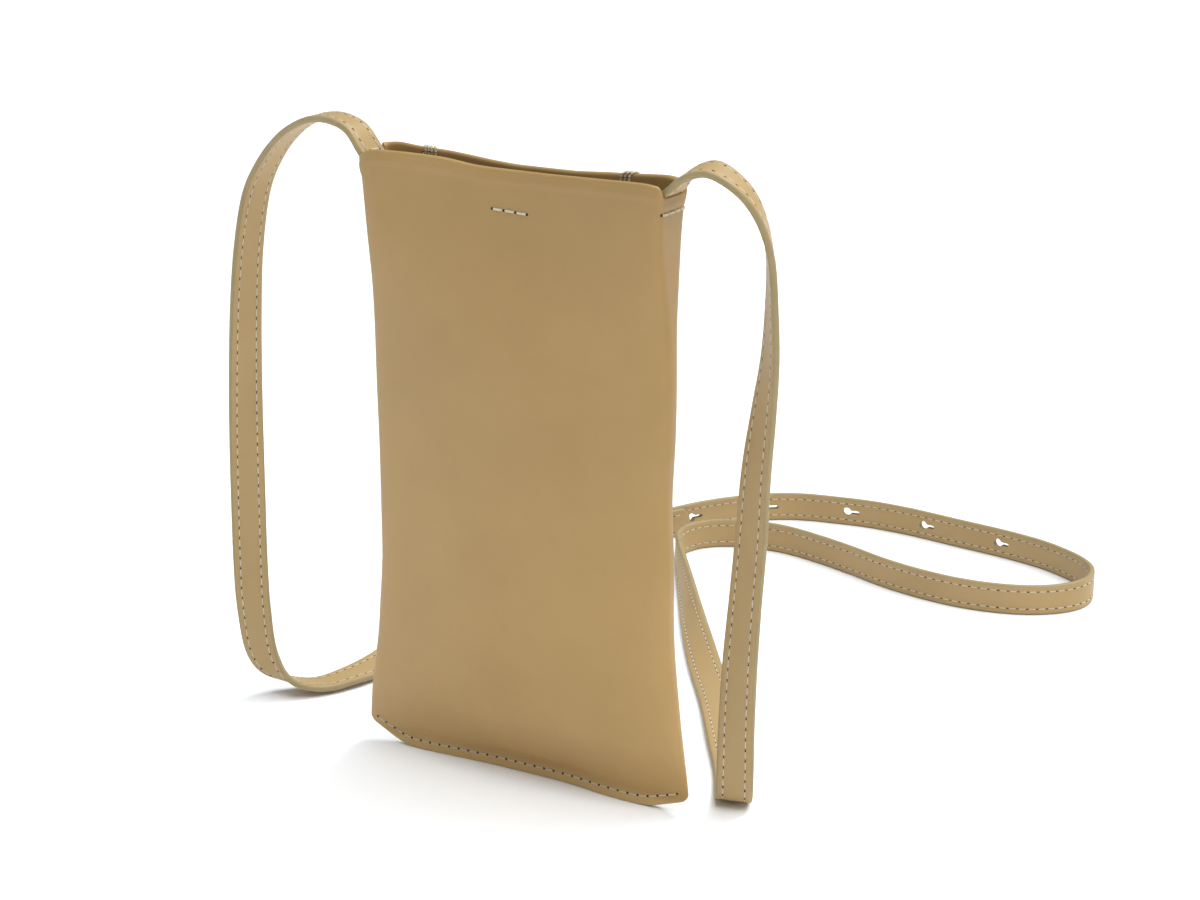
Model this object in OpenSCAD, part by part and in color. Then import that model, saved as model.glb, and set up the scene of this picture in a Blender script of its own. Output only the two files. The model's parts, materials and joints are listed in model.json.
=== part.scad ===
// Folded leather phone pouch with a long adjustable shoulder strap.
// Millimetres, +Z up, front faces -Y, origin at the middle of the bottom edge.

/* [Pouch] */
// Width of the pouch at its flat bottom seam
pouch_w = 117; // [104:1:134]
// Height from the bottom edge to the rim
pouch_h = 196; // [170:1:225]
// Width at the waist, where the sides draw in
waist_w = 102; // [90:1:108]
// Width across the mouth
mouth_w = 104; // [98:1:112]
// Depth of the mouth at its side folds
mouth_d = 17.5; // [17:0.5:24]
// Depth of the mouth at its middle, where the magnets pull it in
mouth_mid_d = 13; // [12:0.5:17]
// Depth of the belly at the middle
belly_d = 25; // [20:1:34]
// Depth of the belly near the side folds
belly_side_d = 20; // [14:1:26]

/* [Leather] */
// Thickness of the body leather
leather_t = 1.4; // [1:0.1:1.8]
// Thickness of the turned edge along the rim
hem_t = 2; // [1.8:0.1:2.4]
// Height of the turned edge
hem_h = 8; // [6:0.5:14]
// Height of the flat strip that the bottom seam closes
seam_h = 8; // [5:0.5:12]
// Rise of the two bottom corners
corner_rise = 6.5; // [2:0.5:10]
// Length of the sloping edge at each bottom corner
corner_run = 14; // [8:1:24]
// Slit between the front and back leather
panel_gap = 0.3; // [0.2:0.05:0.6]
// Half the step of the rim, which stands higher on its left than on its right
rim_wave = 1.1; // [0:0.1:2]
// Drop of the rim where the strap leaves at each side fold
strap_dip = 5.6; // [4:0.1:7]

/* [Card pocket] */
// Width of the card pocket on the inside of the back
pocket_w = 74; // [60:1:82]
// Height of the card pocket
pocket_h = 95; // [70:1:120]
// Distance from the rim down to the top of the pocket
pocket_drop = 6; // [3:0.5:9]
// Thickness of the pocket leather
pocket_t = 1; // [0.8:0.1:1.4]

/* [Magnets] */
// Diameter of each magnet
magnet_d = 10; // [8:0.5:12]
// Thickness of each magnet
magnet_t = 1.5; // [1:0.1:2]
// Width of the leather cover that is sewn over a magnet
cover_w = 18; // [16:0.5:24]
// Height of the cover
cover_h = 15; // [14:0.5:20]
// Leather left over the face of the magnet
cover_t = 0.8; // [0.6:0.1:1.2]
// Distance from the rim down to the middle of the magnets
magnet_drop = 18; // [17:0.5:26]

/* [Strap] */
// Width of the strap
strap_w = 11.5; // [8:0.5:11.5]
// Thickness of the strap, two leathers sewn together
strap_t = 2.2; // [1.6:0.1:2.2]
// Bevel along the four painted edges of the strap
strap_bevel = 0.5; // [0.2:0.1:0.8]
// Distance between the keyholes
keyhole_pitch = 34.5; // [20:0.5:36]
// Number of keyholes
keyholes = 6; // [3:1:6]
// Diameter of the round end of a keyhole
keyhole_d = 3.6; // [3.4:0.1:4.4]
// Length of the slit beside the round end
slit_l = 4.8; // [3:0.1:6]
// Width of the slit
slit_w = 1; // [0.6:0.1:1.4]

/* [Button stud] */
// Diameter of the ball head of the stud
stud_head_d = 5.6; // [5:0.1:6.5]
// Diameter of the post that sits in a keyhole
stud_post_d = 3.2; // [2.8:0.1:3.3]
// Diameter of the flange under the strap
stud_flange_d = 7; // [6:0.1:8]
// Thickness of the flange
stud_flange_t = 0.6; // [0.4:0.05:0.65]
// Diameter of the screw head
screw_head_d = 7; // [6:0.1:8]
// Thickness of the screw head
screw_head_t = 0.9; // [0.7:0.1:1.4]
// Diameter of the screw shank
screw_shank_d = 1.9; // [1.5:0.1:2]

/* [Hidden] */

tan_leather = [0.68, 0.57, 0.40];
nickel = [0.75, 0.75, 0.77];
brass_gold = [0.80, 0.66, 0.38];

// Clearances and small sizes
seat_gap = 0.1;
pocket_gap = 0.4;
round_fn = 48;
overrun = 1;
shank_clearance = 0.05;
cover_fillet = 3;
slot_w = 0.7;
slot_depth = 0.4;

// Section table, in shares of the pouch height
waist_low_share = 0.36;
waist_high_share = 0.65;
belly_share = 0.40;
belly_top_share = 0.66;
square_from_share = 0.62;
// Roundness of the section: the power of its superellipse
soft_power_share = 2.8;
square_power_share = 12;

// Columns of the leather wall, as shares of the half width
side_shares = [1, 0.995, 0.98, 0.95, 0.9, 0.84, 0.763, 0.66, 0.54, 0.4, 0.2];
column_shares = concat([for (s = side_shares) -s], [0],
                       [for (i = [len(side_shares) - 1:-1:0]) side_shares[i]]);
// Rows of the leather wall, as shares of the height between the seam strip and the hem
row_shares = [0, 0.03, 0.07, 0.12, 0.18, 0.25, 0.33, 0.42, 0.52, 0.62, 0.72, 0.82, 0.91, 1];
rim_steps = 4;
// Where the rim steps down on its way to the right, and where it dips for the straps
rim_step_from_share = -0.62;
rim_step_run_share = 0.55;
dip_from_share = 0.93;
dip_run_share = 0.045;

seam_half_d = leather_t + panel_gap / 2;

function ease(t) = let (u = min(1, max(0, t))) u * u * (3 - 2 * u);
function blend(a, b, t) = a + (b - a) * ease(t);

// Half width of the outside at height z
function half_w(z) = let (s = z / pouch_h)
    s < waist_low_share ? blend(pouch_w, waist_w, s / waist_low_share) / 2
    : s < waist_high_share ? waist_w / 2
    : blend(waist_w, mouth_w, (s - waist_high_share) / (1 - waist_high_share)) / 2;

// Half depth of the outside at height z, at the middle and near the side folds
function mid_half_d(z) = let (s = z / pouch_h, s0 = seam_h / pouch_h)
    s < belly_share ? blend(seam_half_d, belly_d / 2, (s - s0) / (belly_share - s0))
    : s < belly_top_share ? belly_d / 2
    : blend(belly_d, mouth_mid_d, (s - belly_top_share) / (1 - belly_top_share)) / 2;
function side_half_d(z) = let (s = z / pouch_h, s0 = seam_h / pouch_h)
    s < belly_share ? blend(seam_half_d, belly_side_d / 2, (s - s0) / (belly_share - s0))
    : s < belly_top_share ? belly_side_d / 2
    : blend(belly_side_d, mouth_d, (s - belly_top_share) / (1 - belly_top_share)) / 2;
function power(z) = blend(soft_power_share, square_power_share,
                          (z / pouch_h - square_from_share) / (1 - square_from_share));

// Outside half depth at the column share s, and the wall point that lies inset below it
function half_d(s, z) = blend(mid_half_d(z), side_half_d(z), abs(s));
function wall_point(s, z, inset) = let (n = power(z), round_share = pow(1 - pow(abs(s), n), 1 / n))
    [(half_w(z) - inset) * s, -max(panel_gap / 2, (half_d(s, z) - inset) * round_share), z];

// Height of the bottom edge and of the rim at the column share s
function bottom_z(s) = corner_rise * max(0, abs(s) * pouch_w / 2 - pouch_w / 2 + corner_run) / corner_run;
function rim_z(s) = pouch_h + rim_wave * (1 - 2 * ease((s - rim_step_from_share) / rim_step_run_share))
    - strap_dip * ease((abs(s) - dip_from_share) / dip_run_share);

// Closed outline of one column: up the outside, round the rim and down the inside
function wall_column(s) = let (
        z0 = bottom_z(s), z1 = max(seam_h, z0 + leather_t), z2 = rim_z(s) - hem_h, z3 = rim_z(s) - hem_t / 2)
    concat(
        [wall_point(s, z0, 0)],
        [for (r = row_shares) wall_point(s, z1 + (z2 - z1) * r, 0)],
        [for (k = [0:rim_steps]) let (a = 180 * k / rim_steps)
            wall_point(s, z3 + hem_t / 2 * sin(a), hem_t / 2 * (1 - cos(a)))],
        [wall_point(s, z2, hem_t)],
        [wall_point(s, z2 - hem_t, leather_t)],
        [for (i = [len(row_shares) - 2:-1:0]) wall_point(s, z1 + (z2 - z1) * row_shares[i], leather_t)],
        [wall_point(s, z0, leather_t)]);

// Solid swept through closed rings and capped at both ends. Each ring runs up one side of its
// section and down the other, so a cap is a strip between the two sides.
module swept(rings) {
    n = len(rings[0]);
    m = len(rings);
    polyhedron(
        points = [for (ring = rings) for (p = ring) p],
        faces = concat(
            [for (i = [0:m - 2]) for (j = [0:n - 1]) for (k = [0, 1])
                let (a = i * n + j, b = i * n + (j + 1) % n)
                k == 0 ? [a, b, a + n] : [b, b + n, a + n]],
            [for (j = [0:n / 2 - 2]) for (k = [0, 1])
                k == 0 ? [j, n - 1 - j, j + 1] : [j + 1, n - 1 - j, n - 2 - j]],
            [for (j = [0:n / 2 - 2]) for (k = [0, 1]) let (e = (m - 1) * n)
                k == 0 ? [e + j, e + j + 1, e + n - 1 - j] : [e + j + 1, e + n - 2 - j, e + n - 1 - j]]));
}

module leather_wall() {
    swept([for (s = column_shares) wall_column(s)]);
}

module front_panel() {
    color(tan_leather) leather_wall();
}

module back_panel() {
    color(tan_leather) mirror([0, 1, 0]) leather_wall();
}

// Card pocket: a sheet that follows the inside of the back leather and steps over its turned edge
pocket_columns = 12;
pocket_rows = 9;
pocket_top = pouch_h - pocket_drop;
hem_low = pouch_h - rim_wave - hem_h - hem_t;
pocket_zs = concat(
    [for (r = [0:pocket_rows]) pocket_top - pocket_h + (hem_low - pocket_top + pocket_h) * r / pocket_rows],
    [hem_low + hem_t, pocket_top]);
function pocket_inset(z) = pocket_gap + (z > hem_low ? hem_t : leather_t);
function pocket_point(x, z, inset) = [x, -wall_point(x / half_w(z), z, pocket_inset(z) + inset)[1], z];
function pocket_column(x) = concat(
    [for (z = pocket_zs) pocket_point(x, z, pocket_t)],
    [for (r = [len(pocket_zs) - 1:-1:0]) pocket_point(x, pocket_zs[r], 0)]);

module card_pocket() {
    color(tan_leather)
        swept([for (c = [0:pocket_columns]) pocket_column(pocket_w * (c / pocket_columns - 0.5))]);
}

// Magnets and the sewn leather covers that hold them, in the middle of each side. The front ones lie
// on the wall and the back ones on the pocket, at these depths below the outside.
magnet_z = pouch_h - magnet_drop;
front_seat = leather_t + 2 * seat_gap;
back_seat = leather_t + pocket_gap + pocket_t + 2 * seat_gap;
cover_d = magnet_t + seat_gap + cover_t;
cover_lean = atan((mid_half_d(magnet_z - cover_h / 2) - mid_half_d(magnet_z + cover_h / 2)) / cover_h);
module at_magnet(seat) {
    translate([0, seat - mid_half_d(magnet_z), magnet_z])
        rotate([90 - cover_lean, 0, 0]) mirror([0, 0, 1]) children();
}

module magnet(seat) {
    color(nickel) at_magnet(seat) cylinder(d = magnet_d, h = magnet_t, $fn = round_fn);
}

module magnet_cover(seat) {
    color(tan_leather) at_magnet(seat) difference() {
        linear_extrude(cover_d) offset(r = cover_fillet, $fn = round_fn)
            square([cover_w - 2 * cover_fillet, cover_h - 2 * cover_fillet], center = true);
        translate([0, 0, -overrun])
            cylinder(d = magnet_d + 2 * seat_gap, h = magnet_t + seat_gap + overrun, $fn = round_fn);
    }
}

module front_magnet() { magnet(front_seat); }
module back_magnet() { rotate([0, 0, 180]) magnet(back_seat); }
module front_magnet_cover() { magnet_cover(front_seat); }
module back_magnet_cover() { rotate([0, 0, 180]) magnet_cover(back_seat); }

// Strap routes: each row is a point of the centre line, x, y and z, and the way the width points there.
// Both start inside a side fold, rise over it and run down to the surface and back behind the pouch.
short_route = [
    [-47.2, 0, 176, 0, 1, 0], [-47.2, 0, 186, 0, 1, 0], [-47.4, 0, 191, 0, 1, 0],
    [-51, 0, 195.9, 0, 1, 0], [-57.8, 0.2, 201, 0, 1, -0.05], [-64.5, 1.2, 203.1, 0.15, 1, -0.05],
    [-72, 3, 203.1, 0.3, 0.95, 0.04], [-79.3, 4.5, 201.1, 0.35, 0.92, 0.15],
    [-87.7, 6.2, 196.5, 0.3, 0.93, 0.22], [-96.5, 7.7, 188.1, 0.22, 0.95, 0.2],
    [-103.8, 8.5, 176, 0.2, 0.97, 0.12], [-108.5, 9.2, 157.5, 0.25, 0.96, 0.05],
    [-110.9, 9.5, 138, 0.36, 0.93, 0], [-112.2, 9.4, 116, 0.48, 0.88, 0], [-113, 9.4, 94, 0.6, 0.8, 0],
    [-113.5, 9.5, 72, 0.7, 0.72, 0], [-114, 9.8, 50, 0.77, 0.64, 0], [-113.7, 10.2, 31.5, 0.81, 0.59, 0],
    [-111.4, 11, 15, 0.86, 0.48, -0.15], [-105.5, 14.8, 6.2, 0.97, 0.12, -0.15],
    [-97.7, 22.5, 2.4, 0.95, -0.28, 0], [-92, 34, 2.7, 0.92, -0.39, -0.05],
    [-88.6, 50, 3.4, 0.9, -0.32, -0.3], [-88.6, 72, 5, 0.69, -0.18, -0.7], [-92.5, 100, 5.9, 0.2, 0, -1],
    [-96, 132, 5.8, 0, 0, -1], [-96, 156, 5.8, 0, 0, -1], [-92, 171.6, 5.8, 0, 0, -1],
    [-85.6, 186.4, 5.8, 0, 0, -1], [-77.6, 204.8, 5.8, 0, 0, -1], [-71.6, 218.6, 5.8, 0, 0, -1],
    [-65.2, 233.3, 5.8, 0, 0, -1]];
long_route = [
    [47.2, 0, 176, 0, 1, 0], [47.2, 0, 186, 0, 1, 0], [47.4, 0, 190.4, 0, 1, 0],
    [51.3, -0.3, 194, 0, 1, 0], [57, -1, 198.7, -0.18, 0.98, 0.05], [63.8, -1.2, 199.3, -0.2, 0.97, 0.13],
    [70, -1, 197.2, -0.25, 0.96, 0.12], [75.4, 0, 192.3, -0.31, 0.95, 0.08],
    [79.2, 1.2, 184.9, -0.4, 0.92, 0.03], [81.4, 2.1, 175.5, -0.5, 0.87, 0],
    [81.9, 3, 161.5, -0.6, 0.8, 0], [81.2, 4, 145.5, -0.69, 0.72, 0], [79.2, 4.5, 128.5, -0.79, 0.62, 0],
    [77, 5, 110.5, -0.88, 0.48, 0], [75.7, 5.2, 90, -0.94, 0.33, 0], [74.2, 5.1, 70, -0.98, 0.18, 0],
    [72.6, 5.5, 49.5, -1, 0.03, 0], [71.6, 6, 29.5, -0.99, -0.1, 0], [70.8, 7.2, 13.8, -0.97, -0.23, 0.05],
    [69, 10.4, 4.5, -0.92, -0.37, 0.1], [64.6, 18.2, 1.5, -0.86, -0.5, 0.05],
    [56.4, 33.5, 1.3, -0.86, -0.51, 0], [43.3, 54, 1.6, -0.84, -0.54, 0.03],
    [27.2, 79.5, 2.4, -0.82, -0.56, 0.12], [9.5, 105.4, 3.8, -0.78, -0.5, 0.38],
    [-10, 134, 5.2, -0.63, -0.38, 0.68], [-28.5, 164, 5.8, -0.37, -0.26, 0.9],
    [-43.8, 189.4, 5.8, -0.15, -0.1, 1], [-51.2, 203.5, 5.8, 0, 0, 1], [-52.4, 212, 5.8, 0, 0, 1],
    [-50, 220.3, 5.8, 0, 0, 1], [-43.8, 226.8, 5.8, 0, 0, 1], [-34, 230.6, 5.8, 0, 0, 1],
    [-20, 231.5, 5.8, 0, 0, 1], [-4, 227.8, 5.8, 0, 0, 1], [13, 222, 5.8, 0, 0, 1],
    [30, 215.2, 5.8, 0, 0, 1], [47, 210.9, 5.8, 0, 0, 1], [62, 209.2, 5.8, 0, 0, 1],
    [76, 210.5, 5.8, 0, 0, 1], [88, 214.6, 5.8, 0, 0, 1], [97, 221.2, 5.8, 0, 0, 1],
    [102.3, 229, 5.8, 0, 0, 1], [103.6, 237.5, 5.8, 0, 0, 1], [101.2, 246.5, 5.8, 0, 0, 1],
    [95.3, 253.9, 5.8, 0, 0, 1], [86, 260.3, 5.8, 0, 0, 1], [74, 265.9, 5.8, 0, 0, 1],
    [57, 270.2, 5.8, 0, 0, 1], [37, 273.3, 5.8, 0, 0, 1], [15, 276.8, 5.8, 0, 0, 1],
    [-3, 277.6, 5.8, 0, 0, 1], [-18, 275.6, 5.8, 0, 0, 1], [-31, 272.8, 5.8, 0, 0, 1],
    [-41, 268, 5.8, 0, 0, 1], [-49, 261.3, 5.8, 0, 0, 1], [-56.6, 252.9, 5.8, 0, 0, 1],
    [-62.6, 244.4, 5.8, 0, 0, 1], [-67.9, 234.6, 5.8, 0, 0, 1], [-74.3, 219.9, 5.8, 0, 0, 1],
    [-80.3, 206.1, 5.8, 0, 0, 1], [-88.3, 187.7, 5.8, 0, 0, 1]];
// Distance between the centre lines of the two lapped strap ends, and how far the stud lies from the
// tip of the short strap and from the tip of the long strap
lap_offset = 3;
stud_from_short_tip = 31;
stud_from_long_tip = 20;

function unit(v) = v / norm(v);
function point(route, i) = [route[i][0], route[i][1], route[i][2]];
function width_way(route, i) = [route[i][3], route[i][4], route[i][5]];
function tangent(route, i) = let (n = len(route) - 1)
    unit(i == 0 ? point(route, 1) - point(route, 0)
         : i == n ? point(route, n) - point(route, n - 1)
         : unit(point(route, i + 1) - point(route, i)) + unit(point(route, i) - point(route, i - 1)));
function across(route, i) = let (t = tangent(route, i), w = width_way(route, i)) unit(w - (w * t) * t);

// Section of the strap, a rectangle with its edges bevelled
strap_outline = let (w = strap_w / 2, t = strap_t / 2, b = strap_bevel)
    [[w - b, -t], [w, b - t], [w, t - b], [w - b, t], [b - w, t], [-w, t - b], [-w, b - t], [b - w, -t]];
function strap_ring(route, i) = let (a = across(route, i), n = cross(a, tangent(route, i)))
    [for (q = strap_outline) point(route, i) + q[0] * a + q[1] * n];
module strap(route) {
    swept([for (i = [0:len(route) - 1]) strap_ring(route, i)]);
}

// Point and heading at a distance from the free end of a strap
function from_end(route, d, i) = let (
        a = point(route, i), b = point(route, i - 1), run = norm(b - a))
    d <= run ? [a + (b - a) * d / run, (b - a) / run] : from_end(route, d - run, i - 1);
function strap_place(route, d) = from_end(route, d, len(route) - 1);
// Puts its children at that place, with local z square to the strap and local x towards the pouch
module on_strap(route, d) {
    place = strap_place(route, d);
    translate(place[0]) rotate([0, 0, atan2(place[1][1], place[1][0])]) rotate([90, 0, 0]) children();
}

module keyhole() {
    cylinder(d = keyhole_d, h = strap_t + 2 * overrun, center = true, $fn = round_fn);
    translate([slit_l / 2, 0, 0]) cube([slit_l, slit_w, strap_t + 2 * overrun], center = true);
}

module long_strap() {
    color(tan_leather) difference() {
        strap(long_route);
        for (k = [0:keyholes - 1]) on_strap(long_route, stud_from_long_tip + k * keyhole_pitch) keyhole();
    }
}

module short_strap() {
    color(tan_leather) difference() {
        strap(short_route);
        on_strap(short_route, stud_from_short_tip)
            cylinder(d = screw_hole_d, h = strap_t + 2 * overrun, center = true, $fn = round_fn);
    }
}

// Hole in the short strap for the screw
screw_hole_d = screw_shank_d + 2 * seat_gap;

// Button stud: flange behind the short strap, post in the keyhole, ball head outside the long strap
flange_z = strap_t / 2 + seat_gap;
post_top = lap_offset + strap_t / 2 + seat_gap;
head_z = post_top + sqrt(pow(stud_head_d, 2) - pow(stud_post_d, 2)) / 2;
stud_bore_d = screw_shank_d + 2 * shank_clearance;
module button_stud() {
    color(brass_gold) on_strap(short_route, stud_from_short_tip) difference() {
        union() {
            translate([0, 0, flange_z]) cylinder(d = stud_flange_d, h = stud_flange_t, $fn = round_fn);
            translate([0, 0, flange_z]) cylinder(d = stud_post_d, h = head_z - flange_z, $fn = round_fn);
            translate([0, 0, head_z]) sphere(d = stud_head_d, $fn = round_fn);
        }
        translate([0, 0, flange_z - overrun])
            cylinder(d = stud_bore_d, h = head_z - flange_z + overrun, $fn = round_fn);
    }
}

module stud_screw() {
    color(brass_gold) on_strap(short_route, stud_from_short_tip) difference() {
        union() {
            translate([0, 0, -flange_z - screw_head_t])
                cylinder(d = screw_head_d, h = screw_head_t, $fn = round_fn);
            translate([0, 0, -flange_z - seat_gap])
                cylinder(d = screw_shank_d, h = head_z + flange_z, $fn = round_fn);
        }
        translate([0, 0, -flange_z - screw_head_t])
            cube([screw_head_d + 2 * overrun, slot_w, 2 * slot_depth], center = true);
    }
}

front_panel();
back_panel();
card_pocket();
front_magnet();
back_magnet();
front_magnet_cover();
back_magnet_cover();
long_strap();
short_strap();
button_stud();
stud_screw();
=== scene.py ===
import bisect
import json
from math import asin, atan, atan2, copysign, cos, hypot, pi, radians, sin, sqrt

import bmesh
import bpy
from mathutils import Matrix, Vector, noise

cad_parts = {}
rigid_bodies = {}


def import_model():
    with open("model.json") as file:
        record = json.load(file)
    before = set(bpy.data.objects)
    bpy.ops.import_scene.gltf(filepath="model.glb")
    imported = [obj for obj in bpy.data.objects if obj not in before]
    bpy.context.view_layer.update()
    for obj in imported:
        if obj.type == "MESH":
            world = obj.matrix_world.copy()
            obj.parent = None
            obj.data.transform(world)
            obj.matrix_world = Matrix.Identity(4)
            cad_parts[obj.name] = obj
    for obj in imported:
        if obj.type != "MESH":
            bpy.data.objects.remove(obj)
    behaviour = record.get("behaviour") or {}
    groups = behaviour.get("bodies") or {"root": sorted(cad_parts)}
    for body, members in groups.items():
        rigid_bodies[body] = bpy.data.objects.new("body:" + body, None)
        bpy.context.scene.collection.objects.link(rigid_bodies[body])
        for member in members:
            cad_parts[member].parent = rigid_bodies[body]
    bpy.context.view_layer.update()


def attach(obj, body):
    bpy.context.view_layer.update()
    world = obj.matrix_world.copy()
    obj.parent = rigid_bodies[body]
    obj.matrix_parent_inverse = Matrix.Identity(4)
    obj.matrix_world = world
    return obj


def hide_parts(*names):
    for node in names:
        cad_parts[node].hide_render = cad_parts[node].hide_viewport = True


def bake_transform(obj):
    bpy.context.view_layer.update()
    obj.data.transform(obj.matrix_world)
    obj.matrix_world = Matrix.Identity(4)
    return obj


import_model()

# A folded leather phone pouch with a long shoulder strap. Lengths are in metres.
MM = 0.001

# Sizes, as in the CAD source apart from where the swell starts and the keyholes' slits
POUCH_W = 117 * MM
POUCH_H = 196 * MM
FOOT_W = 118 * MM
WAIST_W = 102 * MM
MOUTH_W = 104 * MM
MOUTH_D = 17.5 * MM
MOUTH_MID_D = 13 * MM
BELLY_D = 25 * MM
BELLY_SIDE_D = 20 * MM
LEATHER_T = 1.4 * MM
HEM_T = 2 * MM
HEM_H = 8 * MM
SWELL_FROM = 4.2 * MM
CORNER_RISE = 6.5 * MM
CORNER_RUN = 14 * MM
PANEL_GAP = 0.3 * MM
POCKET_W = 74 * MM
POCKET_H = 95 * MM
POCKET_DROP = 6 * MM
POCKET_T = 1 * MM
POCKET_GAP = 0.4 * MM
MAGNET_DROP = 18 * MM
MAGNET_D = 10 * MM
MAGNET_T = 1.5 * MM
COVER_W = 18 * MM
COVER_H = 15 * MM
COVER_T = 0.8 * MM
COVER_FILLET = 3 * MM
SEAT_GAP = 0.1 * MM
STRAP_W = 11.5 * MM
STRAP_T = 2.2 * MM
KEYHOLE_PITCH = 34.5 * MM
KEYHOLES = 6
KEYHOLE_D = 3.6 * MM
SLIT_L = 5.2 * MM
SLIT_W = 1.4 * MM
STUD_FROM_SHORT_TIP = 31 * MM
STUD_FROM_LONG_TIP = 20 * MM
STUD_HOLE_D = 2.1 * MM

# Shares of the pouch height where the section changes, how square it is, and its swell and flare
WAIST_LOW = 0.36
WAIST_HIGH = 0.65
BELLY_AT = 0.40
BELLY_TOP = 0.66
SQUARE_FROM = 0.62
SOFT_POWER = 2.6
SQUARE_POWER = 12
SQUARE_EASE_POWER = 3
SWELL_POWER = 2.9
SWELL_EASE_SHARE = 0.05
FLARE = 1 * MM
FLARE_FROM = 0.94

# Height of the rim of the front and of the back at places across the width, in millimetres
FRONT_RIM = [(-53, 194.6), (-51.5, 195.6), (-49, 196.8), (-46, 197.05), (-36, 197.1), (-30, 196.9), (-23, 196.6),
             (-18, 196), (-12.6, 195.2), (-6, 194.9), (4.5, 194.8), (15, 194.8), (25, 195), (35, 195.2), (45, 195.4),
             (50, 195.2), (53, 194.3)]
BACK_RIM = [(-53, 196.4), (-49, 197), (-46, 196.9), (-42, 196.4), (-37, 196.2), (-29, 196), (-22, 195.5), (-14, 194.8),
            (-5, 194.2), (17, 194), (27, 194.5), (34, 194.7), (40, 195), (48, 195.4), (53, 194.2)]
SIDE_RIM_LEFT = 192.4 * MM
SIDE_RIM_RIGHT = 191.4 * MM

# How far back the bottom seam is pushed at places across the width, in millimetres, and up to which height
SEAM_BOW = [(-60, 1.5), (-42, 1.2), (-35, 1.4), (-25, 2.2), (-14, 2.9), (-2, 3), (12, 2.8), (20, 2.1), (28, 0.8),
            (36, 0.1), (60, 0)]
BOW_TOP = 34 * MM

# How far the left and right edges lie outside of the plain outline, by height, in millimetres
LEFT_NUDGE = [(0, 1.4), (12, 0.5), (20, 0.2), (28, -0.5), (35, -1), (42, -0.35), (49, 0.05), (60, 0.35), (85, 0.3),
              (103, 0.55), (124, 1.05), (145, 0.9), (169, -0.2), (182, -0.4), (190, 0), (196, 0.1)]
RIGHT_NUDGE = [(0, 0), (11, -0.1), (18, -0.95), (24, -1.2), (31, -0.85), (37, -0.5), (43, -0.45), (50, 0.3),
               (56, 0.7), (62, 1), (69, 1.5), (75, 1.45), (81, 1.4), (88, 1.1), (94, 0.55), (100, 0.3), (108, 0.9),
               (117, 1.4), (133, 1.8), (154, 1), (178, -0.6), (190, 0.1), (196, 0.2)]

# How far to both sides these tables are averaged, in millimetres
RIM_SPREAD = 2.4
NUDGE_SPREAD = 8

# How far the straps settle onto the side folds beside the routes below, by the route's point, in millimetres
SHORT_SETTLE = {1: (0, -0.8, 0), 2: (-1.2, -1.3, -0.5), 3: (-1.4, -1.3, -0.4), 4: (0.3, -0.7, 0)}
LONG_SETTLE = {2: (1.2, 0, -0.6), 3: (1, 0, -0.9), 4: (0.2, 0, -1), 5: (0.1, 0, 0.7), 6: (0.3, 0, 0.5),
               7: (0.5, 0, 0.4), 8: (0.5, 0, 0.2), 9: (0.3, 0, 0), 24: (-0.6, 0, 0.4), 25: (-0.6, 0, 0.9),
               26: (-1.2, 0, 0), 27: (-2, 0, 0), 28: (-2.6, 0, 0), 29: (-2.6, 0, 0), 30: (-2, 0, 0), 31: (-1, 0, 0)}

# Strap routes in millimetres: a point of the centre line and the way the width points there
SHORT_ROUTE = [
    (-47.2, 0, 176, 0, 1, 0), (-47.2, 0, 186, 0, 1, 0), (-47.4, 0, 191, 0, 1, 0), (-51, 0, 195.9, 0, 1, 0),
    (-57.8, 0.2, 201, 0, 1, -0.05), (-64.5, 1.2, 203.1, 0.15, 1, -0.05), (-72, 3, 203.1, 0.3, 0.95, 0.04),
    (-79.3, 4.5, 201.1, 0.35, 0.92, 0.15), (-87.7, 6.2, 196.5, 0.3, 0.93, 0.22), (-96.5, 7.7, 188.1, 0.22, 0.95, 0.2),
    (-103.8, 8.5, 176, 0.2, 0.97, 0.12), (-108.5, 9.2, 157.5, 0.25, 0.96, 0.05), (-110.9, 9.5, 138, 0.36, 0.93, 0),
    (-112.2, 9.4, 116, 0.48, 0.88, 0), (-113, 9.4, 94, 0.6, 0.8, 0), (-113.5, 9.5, 72, 0.7, 0.72, 0),
    (-114, 9.8, 50, 0.77, 0.64, 0), (-113.7, 10.2, 31.5, 0.9, 0.43, 0), (-111.4, 11, 15, 0.96, 0.2, -0.15),
    (-105.5, 14.8, 6.2, 0.98, -0.05, -0.15), (-97.7, 22.5, 2.4, 0.95, -0.28, 0), (-92, 34, 2.7, 0.92, -0.39, -0.05),
    (-88.6, 50, 3.4, 0.9, -0.32, -0.3), (-88.6, 72, 5, 0.69, -0.18, -0.7), (-92.5, 100, 5.9, 0.2, 0, -1)]
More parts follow.
